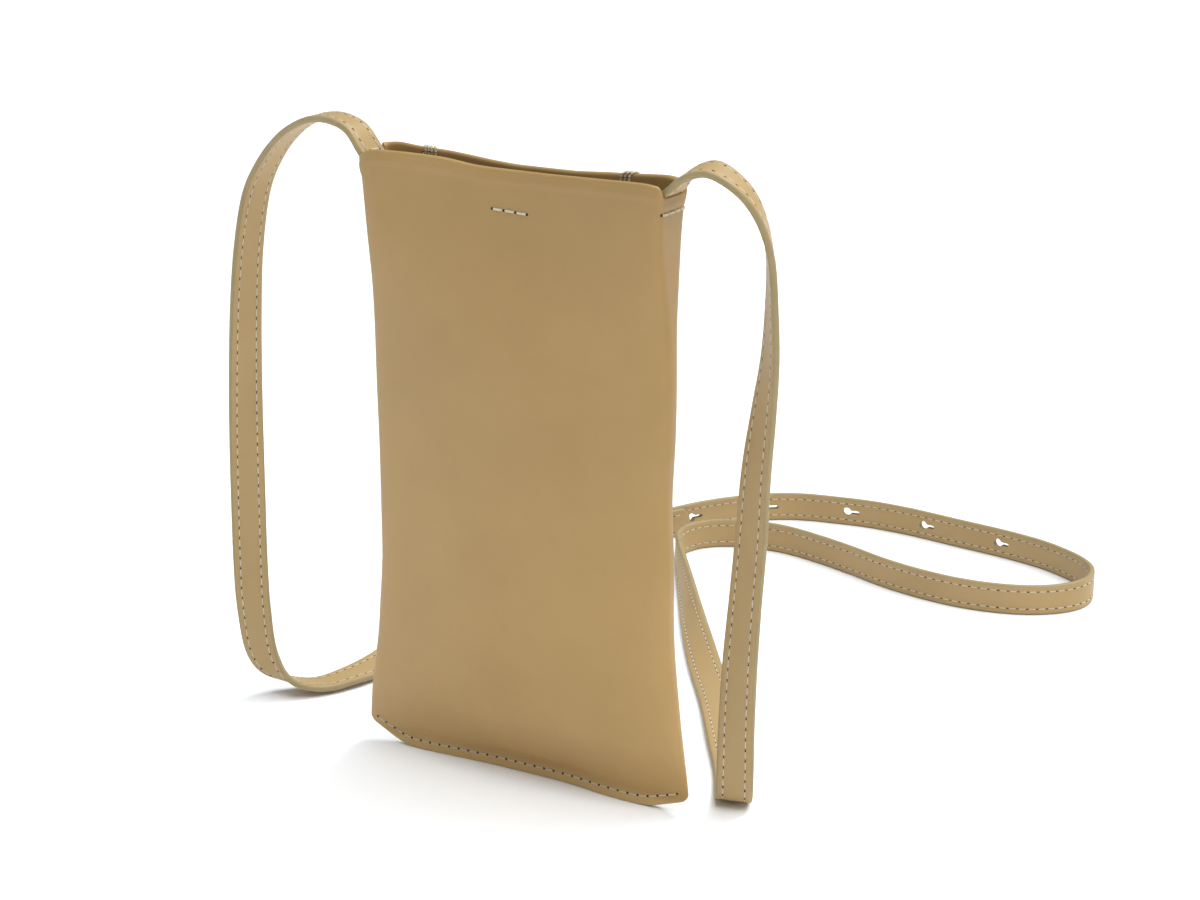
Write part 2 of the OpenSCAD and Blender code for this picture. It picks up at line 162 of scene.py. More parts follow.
LONG_ROUTE = [
    (47.2, 0, 176, 0, 1, 0), (47.2, 0, 186, 0, 1, 0), (47.4, 0, 190.4, 0, 1, 0), (51.3, -0.3, 194, 0, 1, 0),
    (57, -1, 198.7, -0.18, 0.98, 0.05), (63.8, -1.2, 199.3, -0.2, 0.97, 0.13), (70, -1, 197.2, -0.25, 0.96, 0.12),
    (75.4, 0, 192.3, -0.31, 0.95, 0.08), (79.2, 1.2, 184.9, -0.4, 0.92, 0.03), (81.4, 2.1, 175.5, -0.5, 0.87, 0),
    (81.9, 3, 161.5, -0.6, 0.8, 0), (81.2, 4, 145.5, -0.72, 0.69, 0), (79.2, 4.5, 128.5, -0.85, 0.52, 0),
    (77, 5, 110.5, -0.94, 0.36, 0), (75.7, 5.2, 90, -0.97, 0.24, 0), (74.2, 5.1, 70, -0.98, 0.18, 0),
    (72.6, 5.5, 49.5, -1, 0.03, 0), (71.6, 6, 29.5, -0.99, -0.1, 0), (70.8, 7.2, 13.8, -0.97, -0.23, 0.05),
    (69, 10.4, 4.5, -0.92, -0.37, 0.1), (64.6, 18.2, 1.5, -0.86, -0.5, 0.05), (56.4, 33.5, 1.3, -0.86, -0.51, 0),
    (43.3, 54, 1.6, -0.84, -0.54, -0.01), (27.2, 79.5, 2, -0.82, -0.56, -0.15), (9.5, 105.4, 3, -0.74, -0.49, -0.45),
    (-10, 134, 4.4, -0.53, -0.35, -0.77), (-28.5, 164, 5.6, -0.3, -0.2, -0.93), (-43.8, 189.4, 5.8, -0.1, -0.07, -0.99)]

# The rest of both routes, where the strap stands on its edge on the floor: places of the centre line
ON_EDGE = (5.8, 0, 0, -1)
SHORT_ROUTE += [(x, y, *ON_EDGE) for x, y in [
    (-96, 132), (-96, 156), (-92, 171.6), (-85.6, 186.4), (-77.6, 204.8), (-71.6, 218.6), (-65.2, 233.3)]]
LONG_ROUTE += [(x, y, *ON_EDGE) for x, y in [
    (-51.2, 203.5), (-52.4, 212), (-50, 220.3), (-43.8, 226.8), (-34, 230.6), (-20, 231.5), (-4, 227.8), (13, 222),
    (30, 215.2), (47, 210.9), (62, 209.2), (76, 210.5), (88, 214.6), (97, 221.2), (102.3, 229), (103.6, 237.5),
    (101.2, 246.5), (95.3, 253.9), (86, 260.3), (74, 265.9), (57, 270.2), (37, 273.3), (15, 276.8), (-3, 277.6),
    (-18, 275.6), (-31, 272.8), (-41, 268), (-49, 261.3), (-56.6, 252.9), (-62.6, 244.4), (-67.9, 234.6),
    (-74.3, 219.9), (-80.3, 206.1), (-88.3, 187.7)]]


# Camera of the photograph

LENS_MM = 72.74
CAMERA_PLACE = (372.71 * MM, -598.96 * MM, 323.6 * MM)
CAMERA_DOWN = 17.03
CAMERA_TURN = 29.95


def make_camera():
    data = bpy.data.cameras.new("camera")
    data.lens = LENS_MM
    data.sensor_width = 36
    data.sensor_fit = "HORIZONTAL"
    data.clip_start = 0.01
    camera = bpy.data.objects.new("camera", data)
    camera.location = CAMERA_PLACE
    camera.rotation_euler = (radians(90 - CAMERA_DOWN), 0, radians(CAMERA_TURN))
    bpy.context.collection.objects.link(camera)
    bpy.context.scene.camera = camera


# Materials

class Shader:
    """Builds one node material."""

    def __init__(self, name, **values):
        self.material = bpy.data.materials.new(name)
        self.material.use_nodes = True
        self.nodes, self.links = self.material.node_tree.nodes, self.material.node_tree.links
        self.bsdf = self.nodes["Principled BSDF"]
        for key, value in values.items():
            self.bsdf.inputs[key.replace("_", " ")].default_value = value

    def node(self, kind, **values):
        made = self.nodes.new(kind)
        for name, value in values.items():
            if hasattr(made, name):
                setattr(made, name, value)
            else:
                made.inputs[name.replace("_", " ")].default_value = value
        return made

    def link(self, source, target):
        self.links.new(source, target)

    def ramp(self, source, stops):
        made = self.nodes.new("ShaderNodeValToRGB")
        elements = made.color_ramp.elements
        while len(elements) < len(stops):
            elements.new(0.5)
        for element, (place, colour) in zip(elements, stops):
            element.position = place
            element.color = (*colour, 1)
        self.link(source, made.inputs["Fac"])
        return made.outputs["Color"]

    def noise(self, scale, detail, roughness):
        made = self.node("ShaderNodeTexNoise", Scale=scale, Detail=detail, Roughness=roughness)
        self.link(self.coords(), made.inputs["Vector"])
        return made.outputs["Fac"]

    def coords(self):
        if not hasattr(self, "coordinates"):
            self.coordinates = self.node("ShaderNodeTexCoord").outputs["Object"]
        return self.coordinates

    def multiply(self, a, b, factor=None):
        made = self.node("ShaderNodeMix", data_type="RGBA", blend_type="MULTIPLY")
        if factor is None:
            made.inputs["Factor"].default_value = 1
        else:
            self.link(factor, made.inputs["Factor"])
        self.link(a, made.inputs["A"])
        self.link(b, made.inputs["B"])
        return made.outputs["Result"]

    def spread(self, source, **values):
        made = self.node("ShaderNodeMapRange", **values)
        self.link(source, made.inputs["Value"])
        return made.outputs["Result"]

    def base_colour(self, colour):
        self.link(colour, self.bsdf.inputs["Base Color"])

    def roughness(self, source, low, high):
        self.link(self.spread(source, To_Min=low, To_Max=high), self.bsdf.inputs["Roughness"])

    def bumps(self, layers):
        """Each layer is a height output, a strength and a distance in metres."""
        normal = None
        for height, strength, distance in layers:
            bump = self.node("ShaderNodeBump", Strength=strength, Distance=distance)
            self.link(height, bump.inputs["Height"])
            if normal is not None:
                self.link(normal, bump.inputs["Normal"])
            normal = bump.outputs["Normal"]
        self.link(normal, self.bsdf.inputs["Normal"])


# Painted shade: the darker band above the seam, which is faint on the left, and the top of the painted shade that
# darkens the leather towards the mouth
SEAM_SHADE_TOP = 25 * MM
SEAM_SHADE_FAINT_X = -45 * MM
SEAM_SHADE_FULL_X = 30 * MM
SEAM_SHADE_FAINT = 0.15
TOP_SHADE_SPAN = 200 * MM
HEM_COLOUR = (0.50, 0.33, 0.135, 1)


def painted_shade_and_hem(shader, colour):
    """Painted shade in a band above the bottom seam and towards the mouth, and a paler strip below the seam."""
    place = shader.node("ShaderNodeSeparateXYZ")
    shader.link(shader.coords(), place.inputs["Vector"])
    height = shader.spread(place.outputs["Z"], From_Max=SEAM_SHADE_TOP)
    across = shader.spread(place.outputs["X"], From_Min=SEAM_SHADE_FAINT_X, From_Max=SEAM_SHADE_FULL_X, To_Min=SEAM_SHADE_FAINT)
    # painted shade of the band above the seam, fainter to the left
    fold = shader.ramp(height, [
        (0.12, (1, 1, 1)), (0.2, (0.83, 0.77, 0.68)), (0.4, (0.88, 0.83, 0.76)), (0.85, (1, 1, 1))])
    darker = shader.multiply(colour, fold, across)
    hem = shader.ramp(height, [(0.1, (0.7, 0.7, 0.7)), (0.14, (0, 0, 0))])
    paler = shader.node("ShaderNodeMix", data_type="RGBA", blend_type="MIX")
    shader.link(hem, paler.inputs["Factor"])
    shader.link(darker, paler.inputs["A"])
    paler.inputs["B"].default_value = HEM_COLOUR
    # painted shade: the leather gets darker towards the mouth
    top_shade = shader.ramp(shader.spread(place.outputs["Z"], From_Max=TOP_SHADE_SPAN), [
        (0.15, (1, 1, 1)), (0.35, (0.955, 0.95, 0.95)), (0.6, (0.89, 0.89, 0.895)), (0.95, (0.83, 0.82, 0.81))])
    return shader.multiply(paler.outputs["Result"], top_shade)


def leather_material(name, dark, light, rough_low, rough_high, grain, with_painted_shade=False):
    shader = Shader(name, IOR=1.4)
    colour = shader.ramp(shader.noise(38, 4, 0.55), [(0.30, dark), (0.72, light)])
    pores = shader.node("ShaderNodeTexVoronoi", Scale=2600, feature="DISTANCE_TO_EDGE")
    shader.link(shader.coords(), pores.inputs["Vector"])
    shade = shader.ramp(shader.noise(5200, 2, 0.6), [(0.25, (0.93, 0.92, 0.90)), (0.62, (1, 1, 1))])
    # for the body leather, the painted shade above the seam and towards the mouth is multiplied into the colour
    shader.base_colour(shader.multiply(painted_shade_and_hem(shader, colour) if with_painted_shade else colour, shade))
    shader.roughness(shader.noise(260, 4, 0.6), rough_low, rough_high)
    shader.bumps([
        (shader.noise(55, 2, 0.5), 0.25, 0.0012),
        (shader.noise(900, 3, 0.55), grain, 0.00012),
        (pores.outputs["Distance"], grain, 0.00005)])
    return shader.material


def toned(name, scale, detail, dark, light, **values):
    """A shader whose colour wanders between a dark and a light tone."""
    shader = Shader(name, **values)
    shader.base_colour(shader.ramp(shader.noise(scale, detail, 0.5), [(0.3, dark), (0.7, light)]))
    return shader


def edge_material():
    shader = toned("edge_paint", 160, 3, (0.30, 0.226, 0.11), (0.33, 0.252, 0.126), Roughness=0.55, IOR=1.4)
    shader.bumps([(shader.noise(700, 2, 0.5), 0.3, 0.00015)])
    return shader.material


def thread_material(name, dark, light):
    shader = toned(name, 1500, 2, dark, light, Roughness=0.55, Sheen_Weight=0.3)
    twist = shader.node("ShaderNodeTexWave", Scale=900, Distortion=1.5, bands_direction="DIAGONAL")
    shader.link(shader.coords(), twist.inputs["Vector"])
    shader.bumps([(twist.outputs["Fac"], 0.6, 0.00008)])
    return shader.material


def metal_material(name, dark, light, roughness):
    shader = toned(name, 300, 3, dark, light, Metallic=1.0)
    shader.roughness(shader.noise(1200, 3, 0.6), roughness * 0.7, roughness * 1.3)
    shader.bumps([(shader.noise(2500, 2, 0.5), 0.15, 0.00003)])
    return shader.material


LEATHER = leather_material("leather", (0.427, 0.267, 0.098), (0.462, 0.292, 0.109), 0.42, 0.52, 0.10, True)
STRAP_LEATHER = leather_material("strap_leather", (0.395, 0.267, 0.117), (0.43, 0.295, 0.134), 0.44, 0.54, 0.14)
# The inside leather is darker than the outside: partly the flesh side's own darker brown, partly painted shade of the
# pouch's inside.
INSIDE = leather_material("leather_inside", (0.24, 0.155, 0.066), (0.29, 0.19, 0.082), 0.62, 0.75, 0.30)
EDGE = edge_material()
THREAD = thread_material("thread", (0.50, 0.43, 0.30), (0.61, 0.53, 0.39))
TAN_THREAD = thread_material("tan_thread", (0.44, 0.34, 0.19), (0.54, 0.43, 0.26))
# Near-black discs at the needle holes: painted shade inside the holes.
HOLE_SHADE = toned("needle_hole_shade", 2000, 1, (0.006, 0.004, 0.002), (0.014, 0.009, 0.005), Roughness=0.9).material
BRASS = metal_material("brass", (0.72, 0.55, 0.26), (0.80, 0.64, 0.34), 0.22)
NICKEL = metal_material("nickel", (0.58, 0.57, 0.55), (0.68, 0.67, 0.65), 0.3)


# Mesh helpers

def mesh_object(name, vertices, faces, materials, face_slots=None, smooth_angle=60):
    mesh = bpy.data.meshes.new(name)
    mesh.from_pydata([tuple(v) for v in vertices], [], faces)
    for material in materials:
        mesh.materials.append(material)
    if face_slots:
        mesh.polygons.foreach_set("material_index", face_slots)
    mesh.polygons.foreach_set("use_smooth", [True] * len(mesh.polygons))
    mesh.set_sharp_from_angle(angle=radians(smooth_angle))
    mesh.update()
    made = bpy.data.objects.new(name, mesh)
    bpy.context.collection.objects.link(made)
    return made


def band(low, high, count):
    """Faces between a closed ring of points that starts at low and the one that starts at high."""
    return [(low + k, low + (k + 1) % count, high + (k + 1) % count, high + k) for k in range(count)]


def tangent_at(points, i):
    return (points[min(i + 1, len(points) - 1)] - points[max(i - 1, 0)]).normalized()


def ring(centre, a, b, sides):
    """Points round a centre, on an ellipse with the half axes a and b."""
    turns = [2 * pi * k / sides for k in range(sides)]
    return [centre + a * cos(turn) + b * sin(turn) for turn in turns]


def turn_outward(mesh):
    work = bmesh.new()
    work.from_mesh(mesh)
    bmesh.ops.recalc_face_normals(work, faces=work.faces)
    work.to_mesh(mesh)
    work.free()


def ease(t):
    u = min(1.0, max(0.0, t))
    return u * u * (3 - 2 * u)


def mix(a, b, t):
    return a + (b - a) * ease(t)


# Form of the pouch, as in the CAD source but for a steeper swell, the bow, the nudges and the waves

def half_width(z):
    share = z / POUCH_H
    if share < WAIST_LOW:
        return mix(FOOT_W, WAIST_W, share / WAIST_LOW) / 2
    if share < WAIST_HIGH:
        return WAIST_W / 2
    flare = FLARE * max(0, (share - FLARE_FROM) / (1 - FLARE_FROM)) ** 2
    return mix(WAIST_W, MOUTH_W, (share - WAIST_HIGH) / (1 - WAIST_HIGH)) / 2 + flare


def depth_profile(z, belly, mouth):
    share = z / POUCH_H
    seam = LEATHER_T + PANEL_GAP / 2
    low = SWELL_FROM / POUCH_H
    if share < BELLY_AT:
        rise = max(0.0, (share - low) / (BELLY_AT - low))
        return seam + (belly / 2 - seam) * (1 - (1 - rise) ** SWELL_POWER) * ease(rise / SWELL_EASE_SHARE)
    if share < BELLY_TOP:
        return belly / 2
    return mix(belly, mouth, (share - BELLY_TOP) / (1 - BELLY_TOP)) / 2


def half_depth(share, z):
    return mix(depth_profile(z, BELLY_D, MOUTH_MID_D), depth_profile(z, BELLY_SIDE_D, MOUTH_D), abs(share))


def power(z):
    squared = ease((z / POUCH_H - SQUARE_FROM) / (1 - SQUARE_FROM)) ** SQUARE_EASE_POWER
    return SOFT_POWER + (SQUARE_POWER - SOFT_POWER) * squared


def section_shares(angle, z):
    """Places from -1 to 1, across and to the front, of the section point at an angle from the front's middle."""
    n = power(z)
    s, c = sin(angle), cos(angle)
    radius = 1 / (abs(s) ** n + abs(c) ** n) ** (1 / n)
    return radius * s, radius * c


def facing_share(share, z):
    """How far to the front or back the section is at a share of the width, or the other way round."""
    n = power(z)
    return (1 - abs(share) ** n) ** (1 / n)


def section_point(angle, z, inset):
    share, forward = section_shares(angle, z)
    depth = max(PANEL_GAP / 2 if inset else 0, half_depth(share, z) - inset)
    return Vector(((half_width(z) - inset) * share, -depth * forward, z))


CORNER_KNEE = 3 * MM
CORNER_DROP = 0.1 * MM
RIGHT_CORNER = 0.72
TIP_RISE = 1.6 * MM
TIP_FROM = 0.96


def bottom_z(share):
    """Height of the foot across the width: flat, with a slanted corner on both sides and a rounded tip."""
    over = abs(share) * POUCH_W / 2 - POUCH_W / 2 + CORNER_RUN
    soft = 0.5 * (over + sqrt(over * over + CORNER_KNEE * CORNER_KNEE)) - CORNER_KNEE ** 2 / (4 * CORNER_RUN)
    tip = TIP_RISE * max(0, (abs(share) - TIP_FROM) / (1 - TIP_FROM)) ** 3
    rise = CORNER_RISE * (1 if share < 0 else RIGHT_CORNER)
    return max(0, rise * soft / CORNER_RUN - CORNER_DROP) + tip


def between(rows, at, spread=RIM_SPREAD):
    """Value at a place of a table of places and values, averaged over the spread to both sides of it."""
    total = 0
    for share in (-1, -0.5, 0, 0.5, 1):
        place = min(max(at + share * spread, rows[0][0]), rows[-1][0])
        for (x0, z0), (x1, z1) in zip(rows, rows[1:]):
            if place <= x1:
                total += z0 + (z1 - z0) * (place - x0) / (x1 - x0)
                break
    return total / 5


# Side folds of the mouth: the share of the depth where each ends, and over which share it eases out
FOLD_FRONT = (0.92, 0.2)
FOLD_BACK_LEFT = (0.70, 0.12)
FOLD_BACK_RIGHT = (0.80, 0.12)


def side_share(angle):
    """1 over the side folds of the mouth, 0 over its front and back."""
    share, forward = section_shares(angle, POUCH_H)
    if abs(share) < abs(forward):
        return 0
    end, run = FOLD_FRONT if forward > 0 else FOLD_BACK_LEFT if share < 0 else FOLD_BACK_RIGHT
    return ease((end - abs(forward)) / run)


def rim_height(angle):
    x = section_point(angle, POUCH_H, 0).x / MM
    face = between(FRONT_RIM if cos(angle) > 0 else BACK_RIM, x) * MM
    side = side_share(angle)
    return face * (1 - side) + (SIDE_RIM_LEFT if x < 0 else SIDE_RIM_RIGHT) * side


# Waves of the leather: noise scales round and up it, a shift of the pattern and the height in millimetres
SLOW_WAVES = (22, 14, 3, 0.45)
FINE_WAVES = (60, 40, 9, 0.10)
WAVES_FADE = 25 * MM


def undulation(point):
    """Slow unevenness of hand-made leather, in metres along the surface's normal."""
    high = sum(size * noise.noise(Vector((point.x * side, point.y * side + shift, point.z * up)))
               for side, up, shift, size in (SLOW_WAVES, FINE_WAVES))
    fade = ease(point.z / WAVES_FADE) * ease((POUCH_H + 4 * MM - point.z) / WAVES_FADE)
    return high * MM * fade


# The body's mesh: points round it, rows up its outside, of which close ones at foot and rim, and down its inside
AROUND = 384
OUTER_ROWS = 112
FOOT_ROWS = 30
RIM_ROWS = 12
INNER_ROWS = 60
CLOSE_ROW = 0.5 * MM
FOOT_LIFT = 0.3 * MM
ROLL_STEPS = 8
RIM_BEAD = 0.28 * MM
RIM_BEAD_H = 4.5 * MM


def bead(drop):
    """Swelling of the turned rim, from its roll down to the end of its soft bead."""
    return sin(pi * min(1, max(0, drop / RIM_BEAD_H))) ** 2


def column(angle):
    """Points of one column of the body, up the outside, over the rim and down the inside."""
    low = bottom_z(section_shares(angle, 0)[0])
    high = rim_height(angle)
    hem = HEM_T + (LEATHER_T - HEM_T) * side_share(angle)
    roll = hem / 2
    points = [
        (low + 0.15 * MM, LEATHER_T),
        (low, LEATHER_T - 0.2 * MM),
        (low, 0.3 * MM),
        (low + 0.1 * MM, 0.08 * MM)]
    foot, top = low + FOOT_LIFT, high - roll
    close_rows = FOOT_ROWS + RIM_ROWS
    for row in range(OUTER_ROWS + 1):
        if row <= FOOT_ROWS:
            z = foot + CLOSE_ROW * row
        elif row <= OUTER_ROWS - RIM_ROWS:
            share = (row - FOOT_ROWS) / (OUTER_ROWS - close_rows)
            z = foot + CLOSE_ROW * FOOT_ROWS + (top - foot - CLOSE_ROW * close_rows) * share
        else:
            z = top - CLOSE_ROW * (OUTER_ROWS - row)
        points.append((z, -RIM_BEAD * bead(top - z)))
    for step in range(1, ROLL_STEPS + 1):
        turn = pi * step / ROLL_STEPS
        points.append((high - roll + roll * sin(turn), roll * (1 - cos(turn))))
    points += [(high - drop * MM, hem) for drop in (1.5, 3, 4.5, 6, 7)]
    points += [
        (high - HEM_H, hem),
        (high - HEM_H - 0.4 * MM, hem - (hem - LEATHER_T) * 0.3),
        (high - HEM_H - 0.5 * MM, LEATHER_T)]
    top = high - HEM_H - 1.5 * MM
    return points + [(top + (low + 1 * MM - top) * row / INNER_ROWS, LEATHER_T) for row in range(INNER_ROWS + 1)]


def outside_point(angle, z, inset=0.0):
    point = section_point(angle, z, inset)
    flat = section_point(angle, z, 0) if inset else point
    along = section_point(angle + 0.01, z, 0) - section_point(angle - 0.01, z, 0)
    outward = Vector((-along.y, along.x, 0)).normalized()
    if outward.dot(Vector((flat.x, flat.y * 4, 0))) < 0:
        outward = -outward
    bow = between(SEAM_BOW, flat.x / MM) * MM * (1 - ease(z / BOW_TOP))
    across = flat.x / half_width(z)
    nudge = between(RIGHT_NUDGE if across > 0 else LEFT_NUDGE, z / MM, NUDGE_SPREAD) * MM * across * abs(across)
    return point + outward * undulation(flat) + Vector((nudge, bow, 0))


def angle_at(x, z, back=False):
    """Angle round the section where the front, or the back, is at x."""
    share = min(0.9995, abs(x) / half_width(z))
    angle = copysign(atan2(share, facing_share(share, z)), x)
    return pi - angle if back else angle


def side_angle(y, z, right):
    """Angle round the section where a side fold is at y."""
    share = -y / half_depth(1, z)
    return copysign(atan2(facing_share(share, z), share), 1 if right else -1)


def surface(angle, z):
    """Point and outward normal of the outside."""
    point = outside_point(angle, z)
    along = outside_point(angle + 0.004, z) - outside_point(angle - 0.004, z)
    up = outside_point(angle, z + 0.5 * MM) - outside_point(angle, z - 0.5 * MM)
    return point, along.cross(up).normalized()


# Points of a column at its foot, and down the turned hem as far as it shows the leather's outer side
FOOT_POINTS = 4
HEM_POINTS = 3


def make_body():
    angles = [2 * pi * i / AROUND for i in range(AROUND)]
    columns = [[outside_point(angle, z, inset) for z, inset in column(angle)] for angle in angles]
    rows = len(columns[0])
    vertices = [columns[i][row] for row in range(rows) for i in range(AROUND)]
    faces, slots = [], []
    outer_end = FOOT_POINTS + OUTER_ROWS + 1 + ROLL_STEPS + HEM_POINTS
    for row in range(rows):
        after = (row + 1) % rows
        faces += band(row * AROUND, after * AROUND, AROUND)
        slots += [2 if row < FOOT_POINTS - 1 or after == 0 else 0 if row < outer_end else 1] * AROUND
    return mesh_object("leather_body", vertices, faces, [LEATHER, INSIDE, EDGE], slots, 50)


# Straps

ROUTE_STEPS = 8


def smooth(knots):
    """Points of a smooth curve through knots."""
    points = []
    last = len(knots) - 1
    for i in range(last):
        a, b, c, d = knots[max(i - 1, 0)], knots[i], knots[i + 1], knots[min(i + 2, last)]
        for t in [step / ROUTE_STEPS for step in range(ROUTE_STEPS)]:
            points.append(0.5 * (2 * b + (c - a) * t + (2 * a - 5 * b + 4 * c - d) * t * t
                                 + (3 * b - a - 3 * c + d) * t ** 3))
    return points + [knots[last]]


class Route:
    """A strap's centre line and its width and face directions, on a smooth curve through the route's points."""

    def __init__(self, rows, settle):
        self.centre = smooth([(Vector(row[:3]) + Vector(settle.get(i, (0, 0, 0)))) * MM
                              for i, row in enumerate(rows)])
        self.along, self.across, self.face, self.at = [], [], [], [0.0]
        for i, way in enumerate(smooth([Vector(row[3:]) for row in rows])):
            tangent = tangent_at(self.centre, i)
            across = (way - tangent * way.dot(tangent)).normalized()
            self.along.append(tangent)
            self.across.append(across)
            self.face.append(across.cross(tangent))
            if i:
                self.at.append(self.at[-1] + (self.centre[i] - self.centre[i - 1]).length)
        self.length = self.at[-1]

    def place(self, distance):
        """Centre, tangent, width and face directions at a distance from the start."""
        distance = min(max(distance, 0), self.length)
        i = min(bisect.bisect_right(self.at, distance) - 1, len(self.at) - 2)
        t = (distance - self.at[i]) / (self.at[i + 1] - self.at[i])
        return (self.centre[i].lerp(self.centre[i + 1], t),
                *[way[i].lerp(way[i + 1], t).normalized() for way in (self.along, self.across, self.face)])


STITCH_INSET = 2.35 * MM


def strap_profile():
    """Half of the strap's section, from the middle of one face round the edge to the middle of the other."""
    w, t = STRAP_W / 2, STRAP_T / 2
    seam = w - STITCH_INSET
    top = [(0, t), (seam * 0.5, t), (seam - 0.6 * MM, t - 0.01 * MM), (seam, t - 0.10 * MM),
           (seam + 0.6 * MM, t - 0.01 * MM), (w - 1.1 * MM, t - 0.02 * MM), (w - 0.55 * MM, t - 0.09 * MM),
           (w - 0.28 * MM, t - 0.22 * MM), (w - 0.10 * MM, t - 0.48 * MM), (w, t * 0.35)]
    return top + [(x, -y) for x, y in reversed(top)]


# Where the edge paint starts, the steps along each strap, and its rounded tip
PAINT_FROM = STRAP_W / 2 - 0.6 * MM
SHORT_STEPS = 340
LONG_STEPS = 600
STRAP_TIP = 4 * MM
TIP_STEPS = 6
TIP_LEAST = 0.25


def make_strap(name, route, steps):
    half = strap_profile()
    profile = half[:-1] + [(-x, y) for x, y in reversed(half)][:-1]
    spots = [i * route.length / steps for i in range(steps + 1)]
    spots += [route.length - STRAP_TIP * (1 - sin(pi / 2 * k / TIP_STEPS)) for k in range(TIP_STEPS)]
    vertices = []
    for spot in sorted(spots):
        centre, _, across, face = route.place(spot)
        left = (route.length - spot) / STRAP_TIP
        shrink = 1 if left >= 1 else max(TIP_LEAST, sqrt(max(0, 1 - (1 - left) ** 2)))
        vertices += [centre + across * x * shrink + face * y for x, y in profile]
    n = len(profile)
    last = (len(spots) - 1) * n
    faces = []
    for start in range(0, last, n):
        faces += band(start, start + n, n)
    painted = [abs(x) >= PAINT_FROM for x, _ in profile]
    slots = [int(painted[k] and painted[(k + 1) % n]) for k in range(n)] * (len(spots) - 1)
    faces += [tuple(range(n - 1, -1, -1)), tuple(range(last, last + n))]
    slots += [1, 1]
    return mesh_object(name, vertices, faces, [STRAP_LEATHER, EDGE], slots, 50)


ROUND_SIDES = 32
KEYHOLE_STEPS = 28
SLIT_STEPS = 6


def arc(x, radius, first, last, steps):
    turns = [first + (last - first) * step / steps for step in range(steps + 1)]
    return [(x + radius * cos(turn), radius * sin(turn)) for turn in turns]


def keyhole_outline():
    """Round hole with a slit on its +x side."""
    reach = asin(SLIT_W / KEYHOLE_D)
    return (arc(0, KEYHOLE_D / 2, reach, 2 * pi - reach, KEYHOLE_STEPS)
            + arc(SLIT_L - SLIT_W / 2, SLIT_W / 2, -pi / 2, pi / 2, SLIT_STEPS))


def round_outline(diameter):
    return arc(0, diameter / 2, 0, 2 * pi, ROUND_SIDES)[:-1]


def cut_holes(strap, route, outlines):
    """Cuts prisms through the strap. Each outline comes with its distance from the strap's free end."""
    depth = 3 * STRAP_T
    vertices, faces = [], []
    for from_end, outline in outlines:
        centre, tangent, across, face = route.place(route.length - from_end)
        start = len(vertices)
        n = len(outline)
        for side in (-0.5, 0.5):
            vertices += [centre - tangent * x + across * y + face * depth * side for x, y in outline]
        faces += [tuple(range(start, start + n)), tuple(reversed(range(start + n, start + 2 * n)))]
        faces += [(a, d, c, b) for a, b, c, d in band(start, start + n, n)]
    cutter = mesh_object("cutter", vertices, faces, [EDGE])
    turn_outward(cutter.data)
    modifier = strap.modifiers.new("holes", "BOOLEAN")
    modifier.operation = "DIFFERENCE"
    modifier.solver = "EXACT"
    modifier.object = cutter
    modifier.material_mode = "TRANSFER"
    bake_modifiers(strap)
    bpy.data.objects.remove(cutter)
    strap.data.set_sharp_from_angle(angle=radians(40))


def bake_modifiers(piece):
    evaluated = piece.evaluated_get(bpy.context.evaluated_depsgraph_get())
    made = bpy.data.meshes.new_from_object(evaluated)
    piece.modifiers.clear()
    old = piece.data
    piece.data = made
    made.name = piece.name
    bpy.data.meshes.remove(old)


# Stitches

# How a thread rises over its path and dips at its ends, as shares of its radius, and the steps
THREAD_RISE = 0.35
THREAD_DIP = -1.6
PATH_STEPS = 240
STITCH_STEPS = 12
HOLE_SIDES = 10


class Stitches:
    """Collects thread and the near-black discs of painted shade at the needle holes for one piece."""

    def __init__(self):
        self.tone = 0
        self.vertices, self.faces, self.slots = [], [], []

    def tube(self, points, radii, normals, flat=0.75, sides=8):
        """A thread through points, flattened along the normals."""
        start = len(self.vertices)
        last = start + (len(points) - 1) * sides
        for i, point in enumerate(points):
            tangent = tangent_at(points, i)
            normal = (normals[i] - tangent * normals[i].dot(tangent)).normalized()
            self.vertices += ring(point, tangent.cross(normal) * radii[i], normal * radii[i] * flat, sides)
        for low in range(start, last, sides):
            self.faces += band(low, low + sides, sides)
        self.faces += [tuple(reversed(range(start, start + sides))), tuple(range(last, last + sides))]
        self.slots += [self.tone] * (last - start + 2)

    def stitch(self, a, b, normal_a, normal_b, radius, lift):
        """One stitch from hole a to hole b, which dips into the leather at both ends."""
        shares = (0.0, 0.06, 0.16, 0.34, 0.66, 0.84, 0.94, 1.0)
        heights = (THREAD_DIP, -0.4, 0.5, 1.0, 1.0, 0.5, -0.4, THREAD_DIP)
        sizes = (0.55, 0.8, 0.95, 1.0, 1.0, 0.95, 0.8, 0.55)
        points, normals = [], []
        for share, height in zip(shares, heights):
            normal = normal_a.lerp(normal_b, share).normalized()
            points.append(a.lerp(b, share) + normal * (lift + radius * THREAD_RISE * height))
            normals.append(normal)
        self.tube(points, [radius * size for size in sizes], normals)

    # A near-black disc where a needle hole is, painted shade of the hole.
    def hole(self, place, normal, tangent, radius):
        side = normal.cross(tangent).normalized()
        along = side.cross(normal).normalized()
        start, rim, floor = [len(self.vertices) + HOLE_SIDES * step for step in range(3)]
        for size, height in ((1.0, -0.05 * MM), (0.95, 0.035 * MM), (0.5, 0.02 * MM)):
            reach = radius * size
            self.vertices += ring(place + normal * height, side * reach, along * reach, HOLE_SIDES)
        self.faces += band(start, rim, HOLE_SIDES) + band(rim, floor, HOLE_SIDES)
        self.faces.append(tuple(range(floor, floor + HOLE_SIDES)))
        self.slots += [1] * (2 * HOLE_SIDES + 1)

    def build(self, name):
        made = mesh_object(name, self.vertices, self.faces, [THREAD, HOLE_SHADE, TAN_THREAD], self.slots, 70)
        turn_outward(made.data)
        return made


STITCH_PITCH = 3.6 * MM


